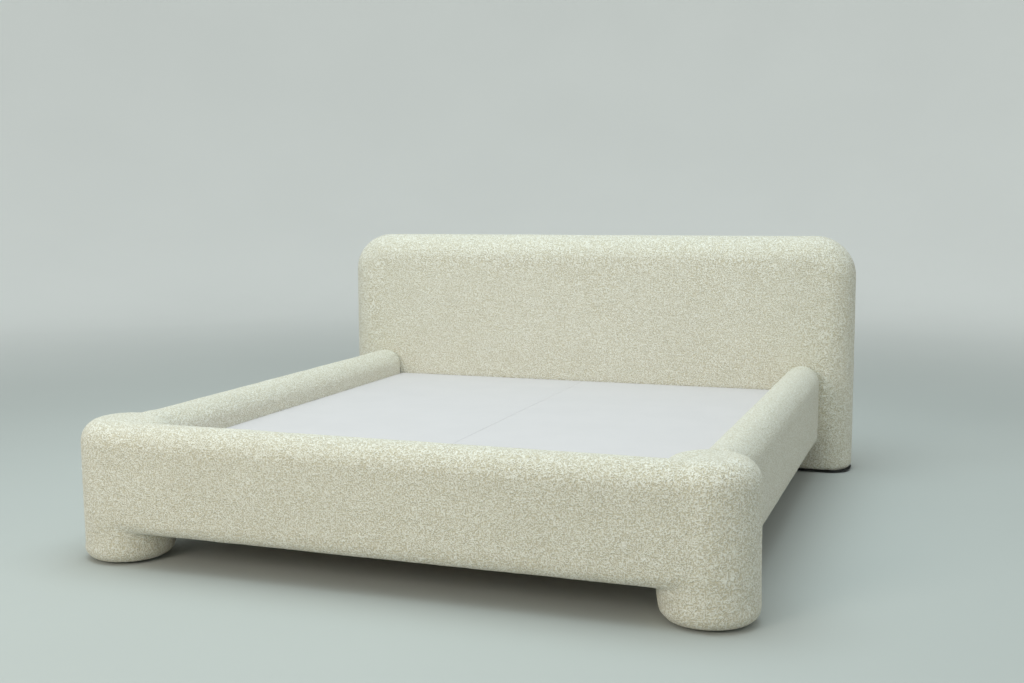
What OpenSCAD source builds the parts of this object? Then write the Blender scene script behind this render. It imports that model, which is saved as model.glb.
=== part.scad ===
// Upholstered platform bed: a headboard slab, a footboard on two round feet, two side rails,
// a centre beam on two adjustable legs and two lift-out platform panels.
// X runs across the bed, +Y towards the headboard, +Z up. Origin: on the floor, in the middle.

/* [Platform] */
// Clear width between the side rails
inner_w = 1848; // [1640:4:2048]
// Length from the footboard's front to the headboard's front
bed_l = 2178; // [2000:2:2300]
// Height of the platform's top above the floor
platform_h = 357; // [330:1:370]
// Thickness of a covered platform panel
panel_t = 20; // [16:1:24]
// Free gap round the platform panels
panel_gap = 5; // [3:0.5:8]

/* [Headboard] */
// Width of the headboard
headboard_w = 2402; // [2300:2:2600]
// Height of the headboard's top above the floor
headboard_h = 1029; // [900:1:1200]
// Thickness of the headboard
headboard_t = 240; // [220:1:260]
// Radius of the headboard's top corners, seen from the front
headboard_corner = 176; // [150:1:220]
// Radius of the headboard's padded edge
headboard_edge = 110; // [100:1:110]

/* [Footboard] */
// Diameter of a round foot
foot_d = 294; // [284:1:310]
// Height of the footboard's feet
foot_h = 477; // [465:1:500]
// Thickness of the footboard's beam
beam_t = 148; // [142:1:152]
// Clearance under the footboard's beam
beam_clear = 109; // [90:1:120]
// Radius of the feet's top edge
foot_edge = 73; // [60:1:80]

/* [Side rails] */
// Thickness of a side rail
rail_t = 144; // [140:1:150]
// Height of a side rail's top above the floor
rail_h = 471; // [460:1:480]
// Clearance under a side rail
rail_clear = 134; // [125:1:140]

/* [Upholstery] */
// Thickness of the looped fabric
cover_t = 3; // [2:0.5:4]
// Thickness of the foam on flat faces
foam_t = 24; // [20:1:26]

/* [Centre support] */
// Width of the centre beam
centre_beam_w = 60; // [50:2:80]
// Depth of the centre beam
centre_beam_h = 70; // [60:2:90]
// Diameter of a centre leg's tube
leg_d = 38; // [32:1:45]

/* [Hidden] */
$fn = 64;
slack = 0.5;                                // air left between pieces that only touch
over = 1;                                   // how far a cut runs past a face
arc_gap = 0.2;                              // keeps the two arcs of a round-topped profile apart
glide_h = 8;                                // the upholstery stands this far off the floor
glide_r = 16;
foot_r = foot_d / 2;
rail_in_x = inner_w / 2;
rail_x = rail_in_x + rail_t / 2;            // middle of a side rail
foot_x = rail_x - 5;                        // middle of a foot
overall_l = bed_l + headboard_t;
front_y = -overall_l / 2;                   // front of the footboard
head_y = front_y + bed_l;                   // front of the headboard
foot_y = front_y + foot_r;                  // middle of a foot
beam_flush = 2;                             // the beam stands this far behind the feet's fronts
beam_y = front_y + beam_flush + beam_t / 2; // middle of the footboard's beam
beam_back_y = beam_y + beam_t / 2;
beam_h = foot_h - beam_flush;
beam_low_r = 45;
rail_low_r = 36;
foot_low_r = 32;
foot_opening_r = foot_r - foot_low_r;       // what the turned-in cover leaves open under a foot
rail_root = 40;                             // a rail's full form starts this far behind a foot's middle
beam_root = 30;                             // the beam's foam ends this far from a foot's middle
scribe_low = 60;
pad_in = cover_t + slack;                   // from the outside to the foam
core_in = pad_in + foam_t;                  // from the outside to the timber frame
dust_t = 1;
half_head = headboard_w / 2;
head_core_x = half_head - headboard_edge;   // half width of the headboard's flat core
head_core_z = headboard_h - headboard_edge; // top of the headboard's flat core
head_core_r = headboard_corner - headboard_edge;
head_low_z = glide_h + dust_t + slack;      // bottom of the headboard's frame
head_board_t = 12;
head_back_t = 9;
head_rail_h = 30;                           // height of the headboard's top and bottom rails
head_rail_z = head_core_z - 40;             // underside of the top rail
head_glide_x = 400;                         // the inner glides, from the middle
head_glide_in = 45;                         // the glides, from the headboard's faces
stile_x = 215;
stile_w = 30;
bearer_h = 40;                              // bearers that back the head ledger
bearer_t = 60;
head_frame_y = head_y + core_in + head_board_t;
head_frame_t = headboard_t - 2 * core_in - head_board_t - head_back_t;
post_w = 90;
drum_r = foot_r - core_in;                  // outside of a foot's bent plywood skin
drum_skin_t = 3;
drum_disc_t = 18;
drum_low_z = glide_h + pad_in + 2;
drum_top_z = foot_h - foot_edge;
drum_middle_z = (drum_low_z + drum_top_z - drum_disc_t) / 2 + 50;
foot_glide_out = 75;
foot_nut_x = 48;                            // the beam bolts' nuts, from a foot's middle
foot_nut_y = 60;                            // the rail bolts' nuts, from a foot's middle
seat_t = 44;                                // thickness of the blocks that the nuts bear on
beam_core_x = foot_x - foot_r - 3;          // half length of the footboard beam's frame
beam_core_low = beam_clear + 20;
beam_core_top = beam_h - beam_t / 2;
rail_foam_t = 15;
rail_core = rail_t - 2 * (pad_in + rail_foam_t);
rail_core_low = rail_clear + pad_in + 10;
rail_core_top = rail_h - rail_t / 2;
rail_core_y = foot_y + foot_r + 8;          // foot end of a side rail's frame
rail_end_y = head_y - cover_t - slack;      // head end of a side rail's frame
board_t = 12;
batten_h = 28;
block_l = 60;                               // length of a timber end block
bolt_r = 4;
bolt_hole_r = 4.5;
bolt_head_r = 7;
bolt_head_h = 6;
bolt_levels = [205, 320];                   // heights of the frame bolts
bolt_proud = 10;                            // a bolt's end stands this far past its nut's seat
hole_over = 30;                             // a bolt's hole runs this far past the blocks
beam_bolt_y = front_y + 90;
nut_r = 9;
nut_t = 5;
thread_gap = 0.1;
post_nut_in = 45;                           // the nuts' seats, from the posts' fronts
nut_pocket_r = 13;
panel_low = platform_h - panel_t;           // the ledgers' tops
panel_skin = 1.5;                           // the panels' white cloth
ledger_w = 30;
ledger_h = 45;
ledger_clear = 12;                          // air at a ledger's ends
ledger_screw_xs = [150, 420, 690];
ledger_screw_ys = [front_y + 420 : 290 : head_y - 120];
screw_r = 2.5;
screw_head_r = 5;
screw_head_h = 3;
hanger_t = 3;
hanger_tray = 60;                           // how far a hanger holds the beam's end
hanger_top = panel_low - 2;
beam_start_y = beam_back_y + hanger_t + slack;
beam_end_y = head_y - hanger_t - slack;
beam_low = panel_low - centre_beam_h;
leg_ys = [front_y + 760, front_y + 1520];   // the two centre legs
leg_plate = 80;
leg_plate_t = 4;
leg_hole_x = 18;                            // the plate's screw holes, from its middle
leg_hole_y = 28;
leg_wall = 2;
leg_low = 34;                               // the tube's lower end
insert_h = 20;                              // threaded insert in the tube's lower end
stem_r = 5;
stem_top = 85;
adjuster_r = 24;
adjuster_h = 12;
hole_gap = 0.3;                             // air round the screws and the adjuster's stem
seam_gap = 3;                               // between the two platform panels
panel_x1 = rail_in_x - panel_gap;
panel_y0 = beam_back_y + panel_gap;
panel_y1 = head_y - panel_gap;
stiffener_w = 45;
stiffener_h = 40;
stiffener_ys = [front_y + 500, front_y + 980, front_y + 1300, front_y + 1850];
fabric = "#dcdccb";
foam_colour = "#efe3b4";
ply = "#d8b98a";
timber = "#c99f6b";
steel = "#b4b6b8";
zinc = "#c9c7bd";
black_cloth = "#2b2b2b";
plastic = "#1c1c1c";
white_cloth = "#f2f3f3";

// ---------- shared shapes ----------

// A box between two corners.
module span(low, high) {
    translate(low) cube(high - low);
}

// What is drawn for the right side, on the side asked for: 1 is right and -1 is left.
module on_side(side) {
    mirror([side > 0 ? 0 : 1, 0, 0]) children();
}

// A flat rectangle with one radius for its upper corners and one for its lower ones, x about 0.
module upright_profile(w, low, high, r_top, r_low) {
    union() {
        translate([-w / 2, low + r_low]) square([w, high - low - r_low - r_top]);
        translate([-w / 2 + r_top, high - r_top]) square([w - 2 * r_top, r_top]);
        translate([-w / 2 + r_low, low]) square([w - 2 * r_low, r_low]);
        for (s = [-1, 1]) {
            translate([s * (w / 2 - r_top), high - r_top]) circle(r = r_top);
            translate([s * (w / 2 - r_low), low + r_low]) circle(r = r_low);
        }
    }
}

// Stands a flat profile up so that its x runs across Y and its y up Z, and draws it out along X.
module along_x(from, to) {
    translate([from, 0, 0]) rotate([90, 0, 90]) linear_extrude(height = to - from) children();
}

// Stands a flat profile up so that its x runs along X and its y up Z, and draws it out along Y.
module along_y(from, to) {
    translate([0, to, 0]) rotate([90, 0, 0]) linear_extrude(height = to - from) children();
}

// A round bar along X or Y, from a start point.
module bar_x(start, length, r) {
    translate(start) rotate([0, 90, 0]) cylinder(r = r, h = length);
}
module bar_y(start, length, r) {
    translate(start) rotate([-90, 0, 0]) cylinder(r = r, h = length);
}

// ---------- outer forms, drawn smaller by an inset ----------

// The headboard: a slab with a fully padded edge along its sides and top.
module headboard_form(inset, low) {
    half_w = half_head - inset;
    high = headboard_h - inset;
    t = headboard_t - 2 * inset;
    corner = headboard_corner - inset;
    edge = headboard_edge - inset;
    translate([0, head_y + headboard_t / 2, 0]) union() {
        translate([0, 0, low]) linear_extrude(height = high - corner - low)
            union() {
                square([2 * (half_w - edge), t], center = true);
                square([2 * half_w, t - 2 * edge], center = true);
                for (sx = [-1, 1], sy = [-1, 1])
                    translate([sx * (half_w - edge), sy * (t / 2 - edge)]) circle(r = edge);
            }
        along_x(-(half_w - corner), half_w - corner)
            headboard_edge_profile(t, edge, high - corner, high);
        for (side = [0, 1]) mirror([side, 0, 0])
            translate([half_w - corner, 0, high - corner]) rotate([90, 0, 0])
                rotate_extrude(angle = 90) rotate([0, 0, -90])
                    headboard_edge_profile(t, edge, 0, corner);
    }
}

// The headboard's edge in section, from its root at low to its padded end at high.
module headboard_edge_profile(t, edge, low, high) {
    union() {
        translate([-t / 2, low]) square([t, high - edge - low]);
        translate([-t / 2 + edge, high - edge]) square([t - 2 * edge, edge]);
        for (s = [-1, 1]) intersection() {
            translate([s * (t / 2 - edge), high - edge]) circle(r = edge);
            translate([-t, high - edge]) square([2 * t, edge]);
        }
    }
}

// The flat field of the headboard, with its corners rounded to follow the slab.
module headboard_field(inset, low, from, to) {
    half_w = head_core_x - inset;
    high = head_core_z - inset;
    r = head_core_r - inset;
    along_y(from, to) union() {
        translate([-half_w, low]) square([2 * half_w, high - r - low]);
        translate([-half_w + r, low]) square([2 * (half_w - r), high - low]);
        for (s = [-1, 1]) translate([s * (half_w - r), high - r]) circle(r = r);
    }
}

// One round foot, with its top edge rolled over.
module foot_form(side, inset, low) {
    r = foot_r - inset;
    high = foot_h - inset;
    edge = foot_edge - inset;
    low_r = foot_low_r - inset;
    translate([side * foot_x, foot_y, 0]) rotate_extrude() union() {
        translate([0, low]) square([r - low_r, low_r]);
        translate([0, low + low_r]) square([r, high - edge - low - low_r]);
        translate([0, high - edge]) square([r - edge, edge]);
        translate([r - edge, high - edge]) intersection() {
            circle(r = edge);
            square(edge);
        }
        translate([r - low_r, low + low_r]) intersection() {
            circle(r = low_r);
            translate([0, -low_r]) square(low_r);
        }
    }
}

// The footboard's beam, with a round top, between two distances either side of the middle.
module beam_form(inset, half_l) {
    translate([0, beam_y, 0]) along_x(-half_l, half_l)
        upright_profile(beam_t - 2 * inset, beam_clear + inset, beam_h - inset,
                        beam_t / 2 - inset - arc_gap, beam_low_r - inset);
}

// A side rail, scribed to the foot at one end.
module rail_form(side, inset, end_y) {
    difference() {
        translate([side * rail_x, 0, 0]) along_y(foot_y + rail_root, end_y)
            upright_profile(rail_t - 2 * inset, rail_clear + inset, rail_h - inset,
                            rail_t / 2 - inset - arc_gap, rail_low_r - inset);
        rail_scribe(side, foot_edge + inset + slack);
    }
}

// What a rail's end is cut to: the foot's round wall and, over its rolled edge, straight facets
// that only just clear a roll of radius e.
module rail_scribe(side, e) {
    wall = foot_r - foot_edge;
    roll = foot_h - foot_edge;
    touch = [0, 26, 60, 90]; // angles at which the facets touch the roll
    corners = [for (i = [0 : len(touch) - 2])
        let (middle = (touch[i] + touch[i + 1]) / 2, out = e / cos((touch[i + 1] - touch[i]) / 2))
            [wall + out * cos(middle), roll + out * sin(middle)]];
    translate([side * foot_x, foot_y, 0]) rotate_extrude()
        polygon(concat([[0, scribe_low], [wall + e, scribe_low]], corners, [[0, roll + e]]));
}

// ---------- holes for the frame bolts ----------

module rail_bolt_holes(side) {
    foot_start = foot_y + rail_root;
    head_start = head_y - block_l - hole_over;
    for (z = bolt_levels) {
        bar_y([side * rail_x, foot_start, z], rail_core_y + block_l + hole_over - foot_start, bolt_hole_r);
        bar_y([side * rail_x, head_start, z], head_y + headboard_t - hole_over - head_start, bolt_hole_r);
    }
}

module beam_bolt_holes(side) {
    start = beam_core_x - block_l - hole_over;
    for (z = bolt_levels) on_side(side)
        bar_x([start, beam_bolt_y, z], foot_x - beam_root - start, bolt_hole_r);
}

// ---------- headboard ----------

module headboard_cover() {
    color(fabric) difference() {
        headboard_form(0, glide_h);
        headboard_form(cover_t, glide_h - over);
        for (side = [-1, 1]) rail_bolt_holes(side);
    }
}

module headboard_edge_foam() {
    color(foam_colour) difference() {
        headboard_form(pad_in, head_low_z);
        headboard_field(0, head_low_z - over, head_y, head_y + headboard_t);
    }
}

module headboard_front_foam() {
    color(foam_colour) difference() {
        headboard_field(slack, head_low_z, head_y + pad_in, head_y + core_in);
        for (side = [-1, 1]) rail_bolt_holes(side);
    }
}

module headboard_back_foam() {
    color(foam_colour)
        headboard_field(slack, head_low_z, head_y + headboard_t - core_in,
                        head_y + headboard_t - pad_in);
}

module headboard_front_board() {
    color(ply) difference() {
        headboard_field(slack, head_low_z, head_y + core_in, head_frame_y);
        for (side = [-1, 1]) rail_bolt_holes(side);
    }
}

module headboard_back_board() {
    color(ply)
        headboard_field(slack, head_low_z, head_frame_y + head_frame_t, head_y + headboard_t - core_in);
}

module headboard_posts() {
    color(timber) for (side = [-1, 1]) difference() {
        span([side * rail_x - post_w / 2, head_frame_y, head_low_z + head_rail_h],
             [side * rail_x + post_w / 2, head_frame_y + head_frame_t, head_rail_z]);
        rail_bolt_holes(side);
        // pockets that hold the nuts behind the bolts
        for (z = bolt_levels)
            bar_y([side * rail_x, head_frame_y + post_nut_in, z], head_frame_t - post_nut_in + over,
                  nut_pocket_r);
    }
}

module headboard_cross_rails() {
    half_l = rail_x + post_w / 2;
    stile_in = stile_x - stile_w / 2;
    color(timber) {
        for (z = [head_low_z, head_rail_z])
            span([-half_l, head_frame_y, z], [half_l, head_frame_y + head_frame_t, z + head_rail_h]);
        for (side = [-1, 1]) on_side(side) headboard_bearer(stile_in + stile_w, rail_x - post_w / 2);
        headboard_bearer(-stile_in, stile_in);
    }
}

module headboard_bearer(x0, x1) {
    span([x0, head_frame_y, panel_low - bearer_h], [x1, head_frame_y + bearer_t, panel_low]);
}

module headboard_stiles() {
    color(timber) for (x = [-stile_x, stile_x])
        span([x - stile_w / 2, head_frame_y, head_low_z + head_rail_h],
             [x + stile_w / 2, head_frame_y + head_frame_t, head_rail_z]);
}

module headboard_dust_cloth() {
    color(black_cloth) intersection() {
        headboard_form(pad_in, glide_h);
        span([-half_head, head_y, glide_h], [half_head, head_y + headboard_t, glide_h + dust_t]);
    }
}

module headboard_glides() {
    color(plastic) for (x = [-rail_x, -head_glide_x, head_glide_x, rail_x],
                        y = [head_glide_in, headboard_t - head_glide_in])
        translate([x, head_y + y, 0]) cylinder(r = glide_r, h = glide_h);
}

// ---------- footboard ----------

module footboard_outer(inset, low) {
    union() {
        beam_form(inset, foot_x);
        for (side = [-1, 1]) foot_form(side, inset, low);
    }
}

module footboard_cover() {
    color(fabric) difference() {
        footboard_outer(0, glide_h);
        footboard_outer(cover_t, glide_h + cover_t);
        for (side = [-1, 1]) {
            rail_bolt_holes(side);
            translate([side * foot_x, foot_y, 0])
                cylinder(r = foot_opening_r, h = glide_h + cover_t + over);
        }
    }
}

module footboard_beam_foam() {
    color(foam_colour) difference() {
        beam_form(pad_in, foot_x - beam_root);
        span([-beam_core_x - slack, front_y + core_in, beam_core_low - slack],
             [beam_core_x + slack, beam_back_y - core_in, beam_core_top + slack]);
        for (side = [-1, 1]) {
            foot_form(side, cover_t, over);
            beam_bolt_holes(side);
        }
    }
}

module footboard_beam_boards() {
    color(ply) for (y = [front_y + core_in + slack, beam_back_y - core_in - slack - board_t])
        span([-beam_core_x, y, beam_core_low], [beam_core_x, y + board_t, beam_core_top]);
}

module beam_inside(x0, x1, z0, z1) {
    skin = core_in + slack + board_t;
    span([x0, front_y + skin, z0], [x1, beam_back_y - skin, z1]);
}

module footboard_beam_battens() {
    x = beam_core_x - block_l;
    color(timber) {
        beam_inside(-x, x, beam_core_low, beam_core_low + batten_h);
        beam_inside(-x, x, beam_core_top - batten_h, beam_core_top);
    }
}

module footboard_end_blocks() {
    color(timber) difference() {
        for (side = [-1, 1]) on_side(side)
            beam_inside(beam_core_x - block_l, beam_core_x, beam_core_low, beam_core_top);
        for (side = [-1, 1]) beam_bolt_holes(side);
    }
}

module foot_foam(side) {
    color(foam_colour) difference() {
        foot_form(side, pad_in, glide_h + pad_in);
        translate([side * foot_x, foot_y, 0]) cylinder(r = drum_r + slack, h = drum_top_z + slack);
        rail_bolt_holes(side);
        beam_bolt_holes(side);
    }
}

module foot_skin(side) {
    color(ply) difference() {
        translate([side * foot_x, foot_y, drum_low_z]) difference() {
            cylinder(r = drum_r, h = drum_top_z - drum_low_z);
            translate([0, 0, -over]) cylinder(r = drum_r - drum_skin_t, h = drum_top_z);
        }
        rail_bolt_holes(side);
        beam_bolt_holes(side);
    }
}

module foot_discs(side) {
    color(ply) for (z = [drum_low_z, drum_middle_z, drum_top_z - drum_disc_t])
        translate([side * foot_x, foot_y, z])
            cylinder(r = drum_r - drum_skin_t - slack, h = drum_disc_t);
}

// Blocks between the discs: one faces the rail, one faces the beam and two fill the other sides.
module foot_blocks(side) {
    storeys = [[drum_low_z + drum_disc_t, drum_middle_z],
               [drum_middle_z + drum_disc_t, drum_top_z - drum_disc_t]];
    half_w = seat_t / 2;
    near = 62;
    rail_block_w = 54;
    rail_block_x = rail_x - foot_x - rail_block_w / 2;
    color(timber) difference() {
        on_side(side) translate([foot_x, foot_y, 0])
            for (s = storeys) {
                span([rail_block_x, foot_nut_y, s[0]],
                     [rail_block_x + rail_block_w, foot_nut_y + seat_t, s[1]]);
                span([-foot_nut_x - seat_t, -70, s[0]], [-foot_nut_x, 20, s[1]]);
                span([-half_w, -near - seat_t, s[0]], [half_w, -near, s[1]]);
                span([near, -half_w, s[0]], [near + seat_t, half_w, s[1]]);
            }
        rail_bolt_holes(side);
        beam_bolt_holes(side);
    }
}

module foot_dust_cloths() {
    color(black_cloth) for (side = [-1, 1])
        translate([side * foot_x, foot_y, glide_h]) cylinder(r = foot_opening_r - slack, h = dust_t);
}

module foot_glides() {
    color(plastic) for (side = [-1, 1], a = [90, 210, 330])
        translate([side * foot_x + foot_glide_out * cos(a), foot_y + foot_glide_out * sin(a), 0])
            cylinder(r = glide_r, h = glide_h);
}

// ---------- side rails ----------

module rail_cover(side) {
    color(fabric) difference() {
        rail_form(side, 0, head_y);
        rail_form(side, cover_t, head_y - cover_t);
        rail_bolt_holes(side);
    }
}

module rail_foam(side) {
    half_core = rail_core / 2 + slack;
    color(foam_colour) difference() {
        rail_form(side, pad_in, rail_end_y);
        span([side * rail_x - half_core, rail_core_y - slack, rail_clear],
             [side * rail_x + half_core, head_y, rail_core_top + slack]);
        rail_bolt_holes(side);
    }
}

module rail_boards(side) {
    color(ply) for (x = [-rail_core / 2, rail_core / 2 - board_t])
        span([side * rail_x + x, rail_core_y, rail_core_low],
             [side * rail_x + x + board_t, rail_end_y, rail_core_top]);
}

module rail_inside(side, y0, y1, z0, z1) {
    half_w = rail_core / 2 - board_t;
    span([side * rail_x - half_w, y0, z0], [side * rail_x + half_w, y1, z1]);
}

module rail_battens(side) {
    color(timber) for (z = [rail_core_low, rail_core_top - batten_h])
        rail_inside(side, rail_core_y + block_l, rail_end_y - block_l, z, z + batten_h);
}

module rail_end_blocks(side) {
    color(timber) difference() {
        for (y = [rail_core_y, rail_end_y - block_l])
            rail_inside(side, y, y + block_l, rail_core_low, rail_core_top);
        rail_bolt_holes(side);
    }
}

// ---------- ledgers ----------

module rail_ledger(side) {
    color(timber) on_side(side)
        span([rail_in_x - ledger_w, foot_y + foot_r + ledger_clear, panel_low - ledger_h],
             [rail_in_x, head_y - ledger_w - ledger_clear, panel_low]);
}

module cross_ledger(y, half_l) {
    gap = centre_beam_w / 2 + hanger_t + ledger_clear;
    color(timber) for (side = [-1, 1]) on_side(side)
        span([gap, y, panel_low - ledger_h], [half_l, y + ledger_w, panel_low]);
}

module head_ledger() {
    cross_ledger(head_y - ledger_w, rail_in_x);
}

module foot_ledger() {
    cross_ledger(beam_back_y, foot_x - foot_r - ledger_clear);
}

module ledger_screws() {
    z = panel_low - ledger_h / 2;
    color(zinc) for (side = [-1, 1]) {
        for (y = ledger_screw_ys) on_side(side)
            bar_x([rail_in_x - ledger_w - screw_head_h, y, z], screw_head_h, screw_head_r);
        for (x = ledger_screw_xs) {
            bar_y([side * x, head_y - ledger_w - screw_head_h, z], screw_head_h, screw_head_r);
            bar_y([side * x, beam_back_y + ledger_w, z], screw_head_h, screw_head_r);
        }
    }
}

// ---------- frame bolts ----------

module bolt_head() {
    cylinder(r = bolt_head_r, h = bolt_head_h, $fn = 6);
}

// Hexagon bolts from each rail's end blocks into the foot and into the headboard's post.
module rail_bolts() {
    foot_start = rail_core_y + block_l;
    foot_end = foot_y + foot_nut_y - bolt_proud;
    head_start = rail_end_y - block_l;
    head_end = head_frame_y + post_nut_in + bolt_proud;
    color(zinc) for (side = [-1, 1], z = bolt_levels) {
        translate([side * rail_x, foot_start, z]) rotate([-90, 0, 0]) bolt_head();
        bar_y([side * rail_x, foot_end, z], foot_start - foot_end, bolt_r);
        translate([side * rail_x, head_start - bolt_head_h, z]) rotate([-90, 0, 0]) bolt_head();
        bar_y([side * rail_x, head_start, z], head_end - head_start, bolt_r);
    }
}

module nut(length) {
    difference() {
        cylinder(r = nut_r, h = length);
        translate([0, 0, -over]) cylinder(r = bolt_r + thread_gap, h = length + 2 * over);
    }
}

module rail_nuts() {
    color(zinc) for (side = [-1, 1], z = bolt_levels) {
        translate([side * rail_x, foot_y + foot_nut_y, z]) rotate([90, 0, 0]) nut(nut_t);
        translate([side * rail_x, head_frame_y + post_nut_in, z]) rotate([-90, 0, 0]) nut(nut_t);
    }
}

module beam_bolts() {
    start = beam_core_x - block_l;
    end = foot_x - foot_nut_x + bolt_proud;
    color(zinc) for (side = [-1, 1], z = bolt_levels) on_side(side) {
        translate([start - bolt_head_h, beam_bolt_y, z]) rotate([0, 90, 0]) bolt_head();
        bar_x([start, beam_bolt_y, z], end - start, bolt_r);
    }
}

module beam_nuts() {
    color(zinc) for (side = [-1, 1], z = bolt_levels) on_side(side)
        translate([foot_x - foot_nut_x, beam_bolt_y, z]) rotate([0, 90, 0]) nut(nut_t);
}

// ---------- centre support ----------

module centre_beam() {
    color(timber)
        span([-centre_beam_w / 2, beam_start_y, beam_low], [centre_beam_w / 2, beam_end_y, panel_low]);
}

// One steel stirrup: a back plate with flanges, a floor and two cheeks that hold the beam's end.
module stirrup(plate_y, tray_y0, tray_y1) {
    x = centre_beam_w / 2 + slack;
    z = beam_low - slack;
    span([-x - hanger_t, plate_y, z - hanger_t],
         [x + hanger_t, plate_y + hanger_t, hanger_top]);
    span([-x - hanger_t, tray_y0, z - hanger_t], [x + hanger_t, tray_y1, z]);
    for (s = [-1, 1])
        on_side(s)
            span([x, tray_y0, z - hanger_t], [x + hanger_t, tray_y1, hanger_top]);
}

module centre_beam_hangers() {
    color(steel) {
        union() stirrup(beam_back_y, beam_back_y, beam_back_y + hanger_tray);
        union() stirrup(head_y - hanger_t, head_y - hanger_tray, head_y);
    }
}

module centre_leg(y) {
    tube_h = beam_low - leg_plate_t - leg_low;
    color(steel) translate([0, y, 0]) difference() {
        union() {
            translate([-leg_plate / 2, -leg_plate / 2, beam_low - leg_plate_t])
                cube([leg_plate, leg_plate, leg_plate_t]);
            translate([0, 0, leg_low]) cylinder(r = leg_d / 2, h = tube_h);
        }
        // the tube's bore above its threaded insert, and the hole through the insert
        translate([0, 0, leg_low + insert_h]) cylinder(r = leg_d / 2 - leg_wall, h = tube_h - insert_h);
        translate([0, 0, leg_low - over]) cylinder(r = stem_r + hole_gap, h = insert_h + 2 * over);
        for (sx = [-1, 1], sy = [-1, 1])
            translate([sx * leg_hole_x, sy * leg_hole_y, beam_low - leg_plate_t - over])
                cylinder(r = screw_r + hole_gap, h = leg_plate_t + 2 * over);
    }
}

module leg_screws() {
    color(zinc) for (y = leg_ys, sx = [-1, 1], sy = [-1, 1])
        translate([sx * leg_hole_x, y + sy * leg_hole_y, beam_low - leg_plate_t - screw_head_h])
            cylinder(r = screw_head_r, h = screw_head_h);
}

module leg_adjuster(y) {
    color(plastic) translate([0, y, 0]) union() {
        cylinder(r = adjuster_r, h = adjuster_h);
        translate([0, 0, adjuster_h - over]) cylinder(r = stem_r, h = stem_top - adjuster_h + over);
    }
}

// ---------- platform panels ----------

// A panel's outline on the right side, smaller by an inset, with a bay for the round foot.
module panel_outline(inset) {
    difference() {
        translate([seam_gap / 2 + inset, panel_y0 + inset])
            square([panel_x1 - seam_gap / 2 - 2 * inset, panel_y1 - panel_y0 - 2 * inset]);
        translate([foot_x, foot_y]) circle(r = foot_r + panel_gap + inset);
    }
}

module panel_cloth(side) {
    color(white_cloth) on_side(side) difference() {
        translate([0, 0, panel_low]) linear_extrude(height = panel_t) panel_outline(0);
        translate([0, 0, panel_low - over])
            linear_extrude(height = panel_t - panel_skin + over) panel_outline(panel_skin);
    }
}

module panel_board(side) {
    color(ply) on_side(side) translate([0, 0, panel_low])
        linear_extrude(height = panel_t - panel_skin - slack) panel_outline(panel_skin + slack);
}

module panel_stiffeners(side) {
    color(timber) on_side(side) for (y = stiffener_ys)
        span([centre_beam_w / 2 + ledger_clear, y, panel_low - stiffener_h],
             [rail_in_x - ledger_w - ledger_clear, y + stiffener_w, panel_low]);
}

// ---------- the bed ----------

headboard_cover();
headboard_edge_foam();
headboard_front_foam();
headboard_back_foam();
headboard_front_board();
headboard_back_board();
headboard_posts();
headboard_cross_rails();
headboard_stiles();
headboard_dust_cloth();
headboard_glides();
footboard_cover();
footboard_beam_foam();
footboard_beam_boards();
footboard_beam_battens();
footboard_end_blocks();
foot_foam(-1);  // left_foot_foam
foot_foam(1);  // right_foot_foam
foot_skin(-1);  // left_foot_skin
foot_skin(1);  // right_foot_skin
foot_discs(-1);  // left_foot_discs
foot_discs(1);  // right_foot_discs
foot_blocks(-1);  // left_foot_blocks
foot_blocks(1);  // right_foot_blocks
foot_dust_cloths();
foot_glides();
rail_cover(-1);  // left_rail_cover
rail_cover(1);  // right_rail_cover
rail_foam(-1);  // left_rail_foam
rail_foam(1);  // right_rail_foam
rail_boards(-1);  // left_rail_boards
rail_boards(1);  // right_rail_boards
rail_battens(-1);  // left_rail_battens
rail_battens(1);  // right_rail_battens
rail_end_blocks(-1);  // left_rail_end_blocks
rail_end_blocks(1);  // right_rail_end_blocks
rail_ledger(-1);  // left_rail_ledger
rail_ledger(1);  // right_rail_ledger
head_ledger();
foot_ledger();
ledger_screws();
rail_bolts();
rail_nuts();
beam_bolts();
beam_nuts();
centre_beam();
centre_beam_hangers();
centre_leg(leg_ys[0]);  // front_centre_leg
centre_leg(leg_ys[1]);  // rear_centre_leg
leg_screws();
leg_adjuster(leg_ys[0]);  // front_leg_adjuster
leg_adjuster(leg_ys[1]);  // rear_leg_adjuster
panel_board(-1);  // left_panel_board
panel_board(1);  // right_panel_board
panel_cloth(-1);  // left_panel_cloth
panel_cloth(1);  // right_panel_cloth
panel_stiffeners(-1);  // left_panel_stiffeners
panel_stiffeners(1);  // right_panel_stiffeners
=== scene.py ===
import math

import bmesh
import bpy
import numpy as np
from mathutils import Matrix, Vector


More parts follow.
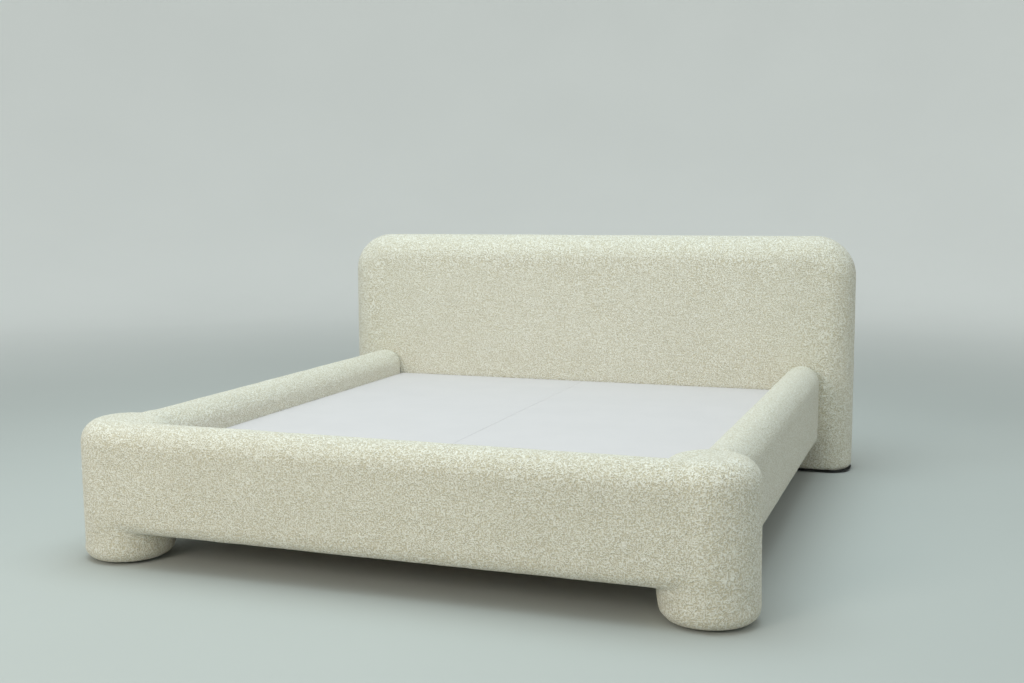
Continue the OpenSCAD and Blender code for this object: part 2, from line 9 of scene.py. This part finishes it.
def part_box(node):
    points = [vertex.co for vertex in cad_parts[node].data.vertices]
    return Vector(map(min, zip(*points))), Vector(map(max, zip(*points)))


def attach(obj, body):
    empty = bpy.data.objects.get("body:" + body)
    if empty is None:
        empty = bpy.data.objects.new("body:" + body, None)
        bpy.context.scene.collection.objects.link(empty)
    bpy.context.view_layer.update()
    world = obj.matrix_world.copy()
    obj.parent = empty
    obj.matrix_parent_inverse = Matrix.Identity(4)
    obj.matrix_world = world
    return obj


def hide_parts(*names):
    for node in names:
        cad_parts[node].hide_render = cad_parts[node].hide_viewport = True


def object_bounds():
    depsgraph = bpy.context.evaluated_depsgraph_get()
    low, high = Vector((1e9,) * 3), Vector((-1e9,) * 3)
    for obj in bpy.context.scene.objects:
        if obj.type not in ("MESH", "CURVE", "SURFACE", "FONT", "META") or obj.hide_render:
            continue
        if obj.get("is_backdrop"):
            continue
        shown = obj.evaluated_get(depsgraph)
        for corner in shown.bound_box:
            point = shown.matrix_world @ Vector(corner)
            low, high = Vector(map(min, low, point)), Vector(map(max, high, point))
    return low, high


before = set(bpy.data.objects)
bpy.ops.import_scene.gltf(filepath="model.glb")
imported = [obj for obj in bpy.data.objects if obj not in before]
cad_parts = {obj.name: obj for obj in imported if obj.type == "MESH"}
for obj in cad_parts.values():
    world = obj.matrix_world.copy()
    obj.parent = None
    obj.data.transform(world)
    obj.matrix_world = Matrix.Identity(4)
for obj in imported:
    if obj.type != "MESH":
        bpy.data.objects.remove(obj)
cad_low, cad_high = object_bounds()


# ---------------------------------------------------------------------------
# The studio: a camera at the foot end, a pale floor that sweeps up into a
# pale wall, and soft light. A wide cool light hangs over the middle, and a
# smaller warm one stands before the foot end, to the left.
# ---------------------------------------------------------------------------

CAMERA_PLACE = (1.6496, cad_low.y - 3.2639, 1.2011)
CAMERA_TURN = 0.35222
CAMERA_DIP = 0.11552
CAMERA_ROLL = -0.00588
CAMERA_LENS = 43.51


def new_object(name, data):
    piece = bpy.data.objects.new(name, data)
    bpy.context.scene.collection.objects.link(piece)
    return piece


camera = new_object("camera", bpy.data.cameras.new("camera"))
camera.data.lens = CAMERA_LENS
camera.data.sensor_width = 36
camera.matrix_world = (
    Matrix.Translation(CAMERA_PLACE)
    @ Matrix.Rotation(CAMERA_TURN, 4, "Z")
    @ Matrix.Rotation(math.pi / 2 - CAMERA_DIP, 4, "X")
    @ Matrix.Rotation(CAMERA_ROLL, 4, "Z")
)
bpy.context.scene.camera = camera
bpy.context.scene.view_settings.view_transform = "Standard"


def softbox(name, place, aim, size, watts, tint):
    light = new_object(name, bpy.data.lights.new(name, "AREA"))
    light.data.size = size
    light.data.energy = watts
    light.data.color = tint
    away = Vector(place) - Vector(aim)
    light.matrix_world = Matrix.Translation(place) @ away.to_track_quat("Z", "Y").to_matrix().to_4x4()


MIDDLE = (0, 0, 0.4)
softbox("ceiling_light", (-0.3, -0.6, 5.0), MIDDLE, 4.5, 174, (0.78, 0.95, 1.0))
softbox("front_light", (-1.8, -5.7, 2.6), MIDDLE, 2.0, 84, (1.0, 0.91, 0.79))

world = bpy.data.worlds.new("room")
bpy.context.scene.world = world
world.use_nodes = True
world.node_tree.nodes["Background"].inputs["Color"].default_value = (0.62, 0.66, 0.65, 1)
world.node_tree.nodes["Background"].inputs["Strength"].default_value = 0.87


class Value:
    """One output of a shader node. An operator on it adds a Math node."""

    def __init__(self, finish, output):
        self.finish = finish
        self.output = output

    def maths(self, operation, *others):
        return self.finish.node("ShaderNodeMath", {"operation": operation}, dict(enumerate((self, *others))))

    def __add__(self, other):
        return self.maths("ADD", other)

    __radd__ = __add__

    def __sub__(self, other):
        return self.maths("SUBTRACT", other)

    def __rsub__(self, other):
        return self.finish.node("ShaderNodeMath", {"operation": "SUBTRACT"}, {0: other, 1: self})

    def __mul__(self, other):
        return self.maths("MULTIPLY", other)

    __rmul__ = __mul__


class Finish:
    """A material on one Principled shader, and what its nodes are made with."""

    def __init__(self, name, **sockets):
        self.material = bpy.data.materials.new(name)
        self.material.use_nodes = True
        self.tree = self.material.node_tree
        self.shader = self.tree.nodes["Principled BSDF"]
        for socket, value in sockets.items():
            self.shader.inputs[socket.replace("_", " ")].default_value = value
        self.place = self.node("ShaderNodeTexCoord", out="Object")

    def node(self, kind, settings=None, inputs=None, out=None):
        made = self.tree.nodes.new(kind)
        for key, value in (settings or {}).items():
            setattr(made, key, value)
        for socket, value in (inputs or {}).items():
            if isinstance(value, Value):
                self.tree.links.new(value.output, made.inputs[socket])
            else:
                made.inputs[socket].default_value = value
        if out is None:
            out = next(i for i, o in enumerate(made.outputs) if o.enabled)
        return Value(self, made.outputs[out])

    def noise(self, scale, detail=2.0, place=None):
        return self.node("ShaderNodeTexNoise", None,
                         {"Vector": place or self.place, "Scale": scale, "Detail": detail}, "Fac")

    def ramp(self, value, low, high, to_low=0.0, to_high=1.0):
        return self.node("ShaderNodeMapRange", {"interpolation_type": "SMOOTHSTEP"},
                         {"Value": value, "From Min": low, "From Max": high,
                          "To Min": to_low, "To Max": to_high})

    def stretched(self, x, y, z):
        return self.node("ShaderNodeMapping", None, {"Vector": self.place, "Scale": (x, y, z)})

    def mix(self, share, first, second, blend="MIX"):
        return self.node("ShaderNodeMix", {"data_type": "RGBA", "blend_type": blend},
                         {0: share, 6: first, 7: second}, 2)

    def grey(self, value):
        return self.node("ShaderNodeCombineColor", None, {0: value, 1: value, 2: value})

    def give(self, socket, value):
        self.tree.links.new(value.output, self.shader.inputs[socket])

    def bump(self, height, depth, strength=1.0):
        self.give("Normal", self.node("ShaderNodeBump", None,
                                      {"Height": height, "Distance": depth, "Strength": strength}))


def colour(red, green, blue):
    """The linear colour of a screen colour from 0 to 255."""
    parts = [c / 255 for c in (red, green, blue)]
    return tuple(c / 12.92 if c < 0.04045 else ((c + 0.055) / 1.055) ** 2.4 for c in parts) + (1,)


FLOOR_RADIUS = 8
SWEEP_RADIUS = 6


def pale_paint():
    finish = Finish("pale_paint", Roughness=0.9)
    away = finish.node("ShaderNodeVectorMath", {"operation": "LENGTH"}, {0: finish.place}, "Value")
    mottle = finish.ramp(finish.noise(0.6, 3), 0.3, 0.7, 0.98, 1.0)
    # Near the middle the floor is a chosen darker grey. The lightening towards the wall is painted light: it
    # makes up for the lamps' light falling off far out.
    floor_paint_lightened_far_out = finish.mix(finish.ramp(away, 3, 10), colour(186, 189, 185), colour(250, 251, 249))
    finish.give("Base Color", finish.mix(1.0, floor_paint_lightened_far_out, finish.grey(mottle), "MULTIPLY"))
    return finish.material


floor_mesh = bmesh.new()
middle = floor_mesh.verts.new((0, 0, 0))
edge = floor_mesh.verts.new((FLOOR_RADIUS, 0, 0))
floor_mesh.edges.new((middle, edge))
bmesh.ops.spin(floor_mesh, geom=[edge], cent=(FLOOR_RADIUS, 0, SWEEP_RADIUS), axis=(0, -1, 0),
               angle=math.pi / 2, steps=24)
bmesh.ops.spin(floor_mesh, geom=floor_mesh.verts[:] + floor_mesh.edges[:], axis=(0, 0, 1), cent=(0, 0, 0),
               angle=math.tau, steps=96, use_merge=True)
bmesh.ops.remove_doubles(floor_mesh, verts=floor_mesh.verts, dist=1e-4)
floor = new_object("floor", bpy.data.meshes.new("floor"))
floor_mesh.to_mesh(floor.data)
floor.data.shade_smooth()
floor.data.materials.append(pale_paint())
floor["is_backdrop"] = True


# ---------------------------------------------------------------------------
# Headboard: one tall slab, foam all round a timber frame, in one cover of
# cream looped fabric. The fabric is pulled over the rolled edges, turned in
# at the bottom and stapled there, so no seam shows on its faces.
# ---------------------------------------------------------------------------

HEAD_CORNER = 0.176
HEAD_EDGE = 0.112
HEAD_HEM = 0.024
HEM_UP = 0.0005
FACE_SWELL = 0.004
HEAD_VOXEL = 0.016
STAPLE_LINE = 0.004
PRESSURE_STEPS = 20
PULL_STIFFNESS = 20
PRESSURE = 4
MOST_SWELL = 0.003
FOAM_WAVES = (0.16, 0.0026)
LUMPS = (0.014, 0.0013)
FORM_VOXEL = 0.005
FABRIC_PROUD = 0.002


def looped_fabric():
    finish = Finish("looped_fabric", Roughness=0.95, Sheen_Weight=0.3, Sheen_Roughness=0.5)
    curls = finish.noise(222, 1)
    worms = 1 - (finish.noise(150, 0) - 0.5).maths("ABSOLUTE") * 4
    fibres = finish.noise(700, 2)
    height = curls * 0.6 + worms * 0.25 + fibres * 0.15
    worn = finish.ramp(finish.noise(2.6, 3), 0.3, 0.7, 0.98, 1.0)
    # Painted shade: the gaps between the loops are painted darker and the loop tops lighter, standing in for
    # the loops' own shadows. The bump below adds the relief itself.
    painted_crevice_shade = finish.mix(finish.ramp(height, 0.42, 0.66), colour(213, 204, 179), colour(247, 244, 232))
    finish.give("Base Color", finish.mix(1.0, painted_crevice_shade, finish.grey(worn), "MULTIPLY"))
    finish.bump(height, 0.007, 1.0)
    return finish.material


fabric = looped_fabric()


def block(low, high):
    """A plain block between two corners, to be shaped."""
    mesh = bmesh.new()
    bmesh.ops.create_cube(mesh, size=1)
    low, high = Vector(low), Vector(high)
    bmesh.ops.scale(mesh, vec=high - low, verts=mesh.verts)
    bmesh.ops.translate(mesh, vec=(low + high) / 2, verts=mesh.verts)
    return mesh


def near(*values):
    return max(values) - min(values) < 1e-5


def round_edges(mesh, radius, segments, wanted):
    """Rounds the edges that wanted picks by their two end points."""
    edges = [e for e in mesh.edges if wanted(e.verts[0].co, e.verts[1].co)]
    bmesh.ops.bevel(mesh, geom=edges, offset=radius, segments=segments, profile=0.5,
                    affect="EDGES", material=-1, clamp_overlap=True)


def finished(name, mesh):
    bmesh.ops.recalc_face_normals(mesh, faces=mesh.faces)
    piece = new_object(name, bpy.data.meshes.new(name))
    mesh.to_mesh(piece.data)
    mesh.free()
    return piece


def apply_modifiers(piece):
    depsgraph = bpy.context.evaluated_depsgraph_get()
    piece.data = bpy.data.meshes.new_from_object(piece.evaluated_get(depsgraph))
    piece.modifiers.clear()


def places(piece):
    spots = np.empty(len(piece.data.vertices) * 3, np.float32)
    piece.data.vertices.foreach_get("co", spots)
    return spots.reshape(-1, 3)


def set_places(piece, spots):
    piece.data.vertices.foreach_set("co", spots.astype(np.float32).ravel())
    piece.data.update()


def simulate(piece, held):
    """The foam presses the fabric outwards against its own pull, with its stapled edges held."""
    start = places(piece)
    staples = piece.vertex_groups.new(name="staples")
    staples.add([int(i) for i in np.flatnonzero(held(start))], 1.0, "REPLACE")
    cloth = piece.modifiers.new("cloth", "CLOTH")
    cloth.point_cache.frame_start = 1
    cloth.point_cache.frame_end = PRESSURE_STEPS
    cloth.settings.quality = 4
    cloth.settings.mass = 0.4
    cloth.settings.tension_stiffness = PULL_STIFFNESS
    cloth.settings.compression_stiffness = PULL_STIFFNESS
    cloth.settings.bending_stiffness = 1
    cloth.settings.vertex_group_mass = "staples"
    cloth.settings.use_pressure = True
    cloth.settings.uniform_pressure_force = PRESSURE
    cloth.settings.effector_weights.gravity = 0
    for step in range(1, PRESSURE_STEPS + 1):
        bpy.context.scene.frame_set(step)
    apply_modifiers(piece)
    bpy.context.scene.frame_set(1)
    shift = places(piece) - start
    length = np.maximum(np.linalg.norm(shift, axis=1, keepdims=True), 1e-9)
    set_places(piece, start + shift * np.minimum(1, MOST_SWELL / length))


def upholster(piece, voxel, held):
    """Covers a plain form in foam and fabric, with the fabric's swell and the foam's slight lumps."""
    form = new_object("form", piece.data.copy())
    for rough, size in ((form, FORM_VOXEL), (piece, voxel)):
        remesh = rough.modifiers.new("remesh", "REMESH")
        remesh.mode = "VOXEL"
        remesh.voxel_size = size
    apply_modifiers(form)
    for passes in (3, 1):
        smooth = piece.modifiers.new("smooth", "SMOOTH")
        smooth.iterations = passes
        smooth.factor = 0.5
        wrap = piece.modifiers.new("wrap", "SHRINKWRAP")
        wrap.wrap_method = "NEAREST_SURFACEPOINT"
        wrap.target = form
    apply_modifiers(piece)
    bpy.data.objects.remove(form)
    simulate(piece, held)
    divide = piece.modifiers.new("divide", "SUBSURF")
    divide.levels = divide.render_levels = 1
    swell = piece.modifiers.new("swell", "DISPLACE")
    swell.strength = FABRIC_PROUD
    swell.mid_level = 0
    for name, (size, depth) in (("foam", FOAM_WAVES), ("lumps", LUMPS)):
        texture = bpy.data.textures.new(name, "CLOUDS")
        texture.noise_scale = size
        texture.noise_depth = 1
        lumps = piece.modifiers.new(name, "DISPLACE")
        lumps.texture = texture
        lumps.texture_coords = "LOCAL"
        lumps.strength = depth
        lumps.mid_level = 0.5
    apply_modifiers(piece)
    piece.data.materials.clear()
    piece.data.materials.append(fabric)
    piece.data.shade_smooth()
    return piece


def cover(piece, *nodes):
    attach(piece, "frame")
    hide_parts(*nodes)


head_low, head_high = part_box("headboard_cover")
head_low += Vector((0, FACE_SWELL, HEM_UP))
head_high.y -= FACE_SWELL
headboard = block(head_low, head_high)
round_edges(headboard, HEAD_CORNER, 12, lambda a, b: near(a.z, b.z, head_high.z) and near(a.x, b.x))
for face in (head_low.y, head_high.y):
    round_edges(headboard, HEAD_EDGE, 10,
                lambda a, b: near(a.y, b.y, face) and not near(a.z, b.z, head_low.z))
round_edges(headboard, HEAD_HEM, 4, lambda a, b: near(a.z, b.z, head_low.z))
headboard = upholster(finished("headboard_upholstery", headboard), HEAD_VOXEL,
                      lambda spots: spots[:, 2] < head_low.z + STAPLE_LINE)
cover(headboard, "headboard_cover", "headboard_edge_foam", "headboard_front_foam", "headboard_back_foam")


# ---------------------------------------------------------------------------
# Footboard: a beam with a round top that runs into a round foot at each end.
# Beam and feet are foam on plywood and share one cover, drawn tight, so the
# fabric flows from the beam's face round each foot.
# ---------------------------------------------------------------------------

foot_low, foot_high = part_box("footboard_cover")
FOOT_RADIUS = 0.147
FOOT_ROLL = 0.073
FOOT_HEM = 0.036
BEAM_THICK = 0.148
BEAM_SET = 0.002
BEAM_UP = 0.109
BEAM_HEM = 0.045
FOOT_VOXEL = 0.012
ROLL_REST = 0.001
foot_x = foot_high.x - FOOT_RADIUS
foot_y = foot_low.y + FOOT_RADIUS
foot_low.z += HEM_UP


def foot(side, grow=0.0):
    mesh = bmesh.new()
    top = foot_high.z + grow
    radius = FOOT_RADIUS + grow
    bmesh.ops.create_cone(mesh, cap_ends=True, segments=72, radius1=radius, radius2=radius,
                          depth=top - foot_low.z)
    bmesh.ops.translate(mesh, vec=(side * foot_x, foot_y, (top + foot_low.z) / 2), verts=mesh.verts)
    round_edges(mesh, FOOT_ROLL + grow, 10, lambda a, b: near(a.z, b.z, top))
    round_edges(mesh, FOOT_HEM, 6, lambda a, b: near(a.z, b.z, foot_low.z))
    return mesh


def joined(*meshes):
    whole = bmesh.new()
    for mesh in meshes:
        data = bpy.data.meshes.new("part")
        mesh.to_mesh(data)
        whole.from_mesh(data)
        bpy.data.meshes.remove(data)
        mesh.free()
    return whole


beam_front = foot_low.y + BEAM_SET
beam_top = foot_high.z - BEAM_SET
beam = block((-foot_x, beam_front, BEAM_UP), (foot_x, beam_front + BEAM_THICK, beam_top))
round_edges(beam, BEAM_THICK / 2 - ROLL_REST, 12, lambda a, b: near(a.z, b.z, beam_top) and near(a.y, b.y))
round_edges(beam, BEAM_HEM, 6, lambda a, b: near(a.z, b.z, BEAM_UP) and near(a.y, b.y))
footboard = upholster(finished("footboard_upholstery", joined(beam, foot(-1), foot(1))), FOOT_VOXEL,
                      lambda spots: spots[:, 2] < foot_low.z + STAPLE_LINE)
cover(footboard, "footboard_cover", "footboard_beam_foam", "left_foot_foam", "right_foot_foam")


# ---------------------------------------------------------------------------
# Side rails: padded beams with a full round top, one on each side. Each has
# its own cover, is scribed to the round foot at one end and butts against
# the headboard at the other, where its edge is rolled.
# ---------------------------------------------------------------------------

RAIL_END_ROLL = 0.022
RAIL_HEM = 0.036
SCRIBE_GAP = 0.001
SCRIBE_HELD = 0.012
RAIL_VOXEL = 0.009

for name, side in (("left", -1), ("right", 1)):
    low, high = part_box(f"{name}_rail_cover")
    rail = block((low.x, foot_y, low.z), high)
    round_edges(rail, (high.x - low.x) / 2 - ROLL_REST, 12,
                lambda a, b: near(a.z, b.z, high.z) and near(a.x, b.x))
    round_edges(rail, RAIL_HEM, 6, lambda a, b: near(a.z, b.z, low.z) and near(a.x, b.x))
    round_edges(rail, RAIL_END_ROLL, 4, lambda a, b: near(a.y, b.y, high.y))
    rail = finished(f"{name}_rail_upholstery", rail)
    cutter = finished("cutter", foot(side, SCRIBE_GAP))
    scribe = rail.modifiers.new("scribe", "BOOLEAN")
    scribe.operation = "DIFFERENCE"
    scribe.object = cutter
    apply_modifiers(rail)
    bpy.data.objects.remove(cutter)
    scribed = foot_y + FOOT_RADIUS + SCRIBE_HELD
    upholster(rail, RAIL_VOXEL, lambda spots: (spots[:, 1] < scribed) | (spots[:, 1] > high.y - STAPLE_LINE))
    cover(rail, f"{name}_rail_cover", f"{name}_rail_foam")


# ---------------------------------------------------------------------------
# Platform: two boards side by side, each in smooth white cloth pulled over
# its edges. The outer foot corner is cut in a bay round the foot. The boards
# lift out by hand, and stiffeners under them carry the load.
# ---------------------------------------------------------------------------

CLOTH_THICK = 0.0012
CLOTH_STEP = 0.05
PANEL_CORNER = 0.009
PANEL_EDGE = 0.002
BAY_GAP = 0.005


def platform_cloth():
    finish = Finish("platform_cloth", Roughness=0.8, Sheen_Weight=0.1)
    threads, weft = (
        finish.node("ShaderNodeTexWave", {"bands_direction": way}, {"Vector": finish.place, "Scale": 260})
        for way in "XY"
    )
    slack = finish.noise(7, 2)
    tone = finish.ramp(slack, 0.3, 0.7, 0.98, 1.0)
    finish.give("Base Color", finish.mix(1.0, colour(211, 205, 205), finish.grey(tone), "MULTIPLY"))
    finish.bump((threads + weft) * 0.03 + slack, 0.003, 0.5)
    return finish.material


white_cloth = platform_cloth()

for name, side in (("left", -1), ("right", 1)):
    low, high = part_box(f"{name}_panel_cloth")
    inner, outer = (low.x, high.x) if side > 0 else (high.x, low.x)
    inner -= side * CLOTH_THICK
    bay = FOOT_RADIUS + BAY_GAP
    first = math.atan2(low.y - foot_y, -math.sqrt(bay ** 2 - (low.y - foot_y) ** 2))
    last = math.acos((abs(outer) - foot_x) / bay)
    outline = [(inner, low.y)]
    for step in range(13):
        angle = first + (last - first) * step / 12
        outline.append((side * (foot_x + bay * math.cos(angle)), foot_y + bay * math.sin(angle)))
    outline += [(outer, high.y), (inner, high.y)]
    panel = bmesh.new()
    panel.faces.new([panel.verts.new((x, y, high.z)) for x, y in outline])
    sides = bmesh.ops.extrude_edge_only(panel, edges=panel.edges[:])
    lower = [v for v in sides["geom"] if isinstance(v, bmesh.types.BMVert)]
    bmesh.ops.translate(panel, vec=(0, 0, low.z - high.z), verts=lower)
    round_edges(panel, PANEL_CORNER, 4,
                lambda a, b: near(a.x, b.x) and near(a.y, b.y) and not 0 < abs(a.y - low.y) < bay * 1.1)
    round_edges(panel, PANEL_EDGE, 4, lambda a, b: near(a.z, b.z, high.z))
    for axis in (0, 1):
        count = int((high - low)[axis] / CLOTH_STEP)
        for step in range(1, count):
            cut = Vector(low)
            cut[axis] += (high - low)[axis] * step / count
            normal = Vector((0, 0, 0))
            normal[axis] = 1
            bmesh.ops.bisect_plane(panel, geom=panel.verts[:] + panel.edges[:] + panel.faces[:],
                                   plane_co=cut, plane_no=normal)
    piece = finished(f"{name}_panel_covering", panel)
    solid = piece.modifiers.new("cloth", "SOLIDIFY")
    solid.thickness = CLOTH_THICK
    solid.offset = -1
    apply_modifiers(piece)
    piece.data.shade_smooth()
    piece.data.set_sharp_from_angle(angle=math.radians(50))
    piece.data.materials.append(white_cloth)
    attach(piece, f"{name}_panel")
    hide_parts(f"{name}_panel_cloth")
    drop = 2 * (high.z - low.z)
    width, length = high.x - low.x + drop, high.y - low.y + drop


# ---------------------------------------------------------------------------
# Frame: the timber and plywood inside the padded parts. Birch plywood boards
# face each part, pine posts, rails, battens and blocks hold them apart, and
# pine ledgers carry the platform. Glued and screwed.
# ---------------------------------------------------------------------------

PLY_STEP = 0.0031


def planed_pine():
    finish = Finish("planed_pine", Roughness=0.6)
    rings = (finish.noise(7, 2, finish.stretched(1, 9, 9)) * 60).maths("SINE") * 0.5 + 0.5
    fibres = finish.noise(90, 3, finish.stretched(1, 16, 16))
    grain = rings * 0.65 + fibres * 0.35
    knots = finish.ramp(finish.noise(5.5, 0), 0.72, 0.78)
    wood = finish.mix(grain, colour(222, 192, 146), colour(194, 154, 104))
    finish.give("Base Color", finish.mix(knots, wood, colour(120, 78, 46)))
    finish.give("Roughness", finish.ramp(grain, 0.0, 1.0, 0.5, 0.68))
    finish.bump(grain, 0.0006, 0.35)
    return finish.material


def birch_plywood():
    finish = Finish("birch_plywood", Roughness=0.55)
    grain = finish.noise(30, 3, finish.stretched(1, 14, 14))
    facing = finish.node("ShaderNodeNewGeometry", out="Normal")
    upright = finish.node("ShaderNodeSeparateXYZ", None, {"Vector": facing}, "Z").maths("ABSOLUTE")
    up = finish.node("ShaderNodeSeparateXYZ", None, {"Vector": finish.place}, "Z")
    plies = finish.ramp((up * (math.tau / PLY_STEP)).maths("SINE"), -0.3, 0.3) * (1 - upright)
    face = finish.mix(finish.ramp(grain, 0.3, 0.7), colour(226, 203, 165), colour(208, 180, 138))
    finish.give("Base Color", finish.mix(plies * 0.7, face, colour(158, 120, 80)))
    finish.give("Roughness", finish.ramp(grain, 0.3, 0.7, 0.5, 0.62))
    finish.bump(grain, 0.0004, 0.3)
    return finish.material


def dress(material, *nodes):
    """Gives the solids that show as they are their finish."""
    for node in nodes:
        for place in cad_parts[node].material_slots:
            place.material = material


pine = planed_pine()
plywood = birch_plywood()
dress(plywood, "headboard_front_board", "headboard_back_board", "footboard_beam_boards")
dress(pine, "headboard_posts", "headboard_cross_rails", "headboard_stiles", "footboard_beam_battens",
      "footboard_end_blocks", "head_ledger", "foot_ledger", "centre_beam")
for side in ("left", "right"):
    dress(plywood, f"{side}_foot_skin", f"{side}_foot_discs", f"{side}_rail_boards", f"{side}_panel_board")
    dress(pine, f"{side}_foot_blocks", f"{side}_rail_battens", f"{side}_rail_end_blocks",
          f"{side}_rail_ledger", f"{side}_panel_stiffeners")


# ---------------------------------------------------------------------------
# Ironwork: two folded steel hangers hold the ends of the pine beam under the
# platform's middle, and two round tube legs stand under it. Black powder coat.
# ---------------------------------------------------------------------------


def powder_coat():
    finish = Finish("powder_coat", Roughness=0.5)
    orange_peel = finish.noise(420, 2)
    rubbed = finish.ramp(finish.noise(11, 3), 0.45, 0.75)
    finish.give("Base Color", finish.mix(rubbed, colour(34, 35, 36), colour(46, 47, 48)))
    finish.give("Roughness", finish.ramp(orange_peel, 0.3, 0.7, 0.42, 0.56))
    finish.bump(orange_peel, 0.0006, 0.4)
    return finish.material


dress(powder_coat(), "centre_beam_hangers", "front_centre_leg", "rear_centre_leg")


# ---------------------------------------------------------------------------
# Fixings: the bolts that draw rails and beam to the feet and the headboard,
# their nuts, and the screws of ledgers and legs. Bright zinc plate on steel.
# ---------------------------------------------------------------------------


def zinc_plate():
    finish = Finish("zinc_plate", Metallic=1.0)
    spangle = finish.noise(140, 2)
    handled = finish.noise(18, 3)
    finish.give("Base Color", finish.mix(spangle, colour(164, 167, 168), colour(205, 206, 203)))
    finish.give("Roughness", finish.ramp(handled * 0.6 + spangle * 0.4, 0.3, 0.7, 0.28, 0.46))
    finish.bump(spangle, 0.0004, 0.3)
    return finish.material


zinc = zinc_plate()
dress(zinc, "ledger_screws", "rail_bolts", "rail_nuts", "beam_bolts", "beam_nuts", "leg_screws")


# ---------------------------------------------------------------------------
# Glides and levelling feet: moulded black plastic. The glides are nailed to
# headboard and feet, and the levelling feet screw into the middle legs.
# ---------------------------------------------------------------------------


def moulded_plastic():
    finish = Finish("moulded_plastic", Roughness=0.5)
    spark = finish.noise(700, 2)
    scuffed = finish.ramp(finish.noise(30, 3), 0.5, 0.7)
    finish.give("Base Color", finish.mix(scuffed, colour(24, 24, 25), colour(42, 42, 43)))
    finish.give("Roughness", finish.ramp(spark, 0.3, 0.7, 0.45, 0.6))
    finish.bump(spark, 0.0003, 0.5)
    return finish.material


dress(moulded_plastic(), "headboard_glides", "foot_glides", "front_leg_adjuster", "rear_leg_adjuster")


# ---------------------------------------------------------------------------
# Dust cloths: thin black felt that closes the underside of the headboard and
# of each foot. Its edge is folded under once and stapled to the frame.
# ---------------------------------------------------------------------------

FELT_THICK = 0.0008
FELT_HEM = 0.012
FOLD_DROP = 1.2 * FELT_THICK
STAPLE_DROP = 1.7 * FELT_THICK
STAPLE_SIZE = Vector((0.010, 0.0014, 0.0010))
STAPLE_STEP = 0.07


def black_felt():
    finish = Finish("black_felt", Roughness=0.95)
    matted = finish.noise(900, 3)
    finish.give("Base Color", finish.mix(matted, colour(20, 20, 21), colour(52, 51, 50)))
    finish.bump(matted, 0.001, 0.6)
    return finish.material


felt = black_felt()


def dust_sheet(name, node, sheet, middle, size, staples):
    """Folds a flat face's edge under, and staples it. Each staple has a place and a turn."""
    rim = bmesh.ops.extrude_edge_only(sheet, edges=[e for e in sheet.edges if e.is_boundary])
    rim = [v for v in rim["geom"] if isinstance(v, bmesh.types.BMVert)]
    bmesh.ops.translate(sheet, vec=(0, 0, -FOLD_DROP), verts=rim)
    fold = bmesh.ops.extrude_edge_only(sheet, edges=[e for e in sheet.edges if e.is_boundary])
    fold = [v for v in fold["geom"] if isinstance(v, bmesh.types.BMVert)]
    inwards = [1 - 2 * FELT_HEM / side for side in size]
    bmesh.ops.scale(sheet, vec=(*inwards, 1), space=Matrix.Translation([-c for c in middle]), verts=fold)
    cloth = finished(f"{name}_dust_sheet", sheet)
    solid = cloth.modifiers.new("felt", "SOLIDIFY")
    solid.thickness = FELT_THICK
    solid.offset = 0
    apply_modifiers(cloth)
    cloth.data.materials.append(felt)
    wires = bmesh.new()
    for place, turn in staples:
        wire = bmesh.ops.create_cube(wires, size=1)["verts"]
        bmesh.ops.scale(wires, vec=STAPLE_SIZE, verts=wire)
        bmesh.ops.rotate(wires, cent=(0, 0, 0), matrix=Matrix.Rotation(turn, 3, "Z"), verts=wire)
        bmesh.ops.translate(wires, vec=place, verts=wire)
    bmesh.ops.bevel(wires, geom=wires.edges[:], offset=0.0002, segments=1, profile=0.5, affect="EDGES",
                    material=-1)
    wires = finished(f"{name}_staples", wires)
    wires.data.materials.append(zinc)
    for piece, slot in ((cloth, "dust_cloth"), (wires, "zinc_steel")):
        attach(piece, "frame")
    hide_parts(node)


low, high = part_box("headboard_dust_cloth")
width, depth, _ = high - low
corner = 0.4 * depth
sheet = bmesh.new()
bmesh.ops.create_grid(sheet, x_segments=1, y_segments=1, size=0.5)
bmesh.ops.scale(sheet, vec=(width, depth, 1), verts=sheet.verts)
bmesh.ops.translate(sheet, vec=((low.x + high.x) / 2, (low.y + high.y) / 2, high.z), verts=sheet.verts)
bmesh.ops.bevel(sheet, geom=sheet.verts[:], offset=corner, segments=8, profile=0.5, affect="VERTICES",
                material=-1)
under = high.z - STAPLE_DROP
count = round((width - 2 * corner) / STAPLE_STEP)
staples = []
for step in range(count + 1):
    along = low.x + corner + (width - 2 * corner) * step / count
    for y in (low.y + FELT_HEM / 2, high.y - FELT_HEM / 2):
        staples.append(((along, y, under), 0.0))
dust_sheet("headboard", "headboard_dust_cloth", sheet, (low + high) / 2, (width, depth), staples)

low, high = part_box("foot_dust_cloths")
radius = (high.y - low.y) / 2
for name, x in (("left_foot", low.x + radius), ("right_foot", high.x - radius)):
    middle = Vector((x, (low.y + high.y) / 2, high.z))
    sheet = bmesh.new()
    bmesh.ops.create_circle(sheet, cap_ends=True, segments=64, radius=radius)
    bmesh.ops.translate(sheet, vec=middle, verts=sheet.verts)
    staples = []
    count = round(math.tau * radius / STAPLE_STEP)
    for step in range(count):
        angle = math.tau * step / count
        out = radius - FELT_HEM / 2
        place = (x + out * math.cos(angle), middle.y + out * math.sin(angle), under)
        staples.append((place, angle + math.pi / 2))
    dust_sheet(name, "foot_dust_cloths", sheet, middle, (2 * radius, 2 * radius), staples)


low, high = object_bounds()
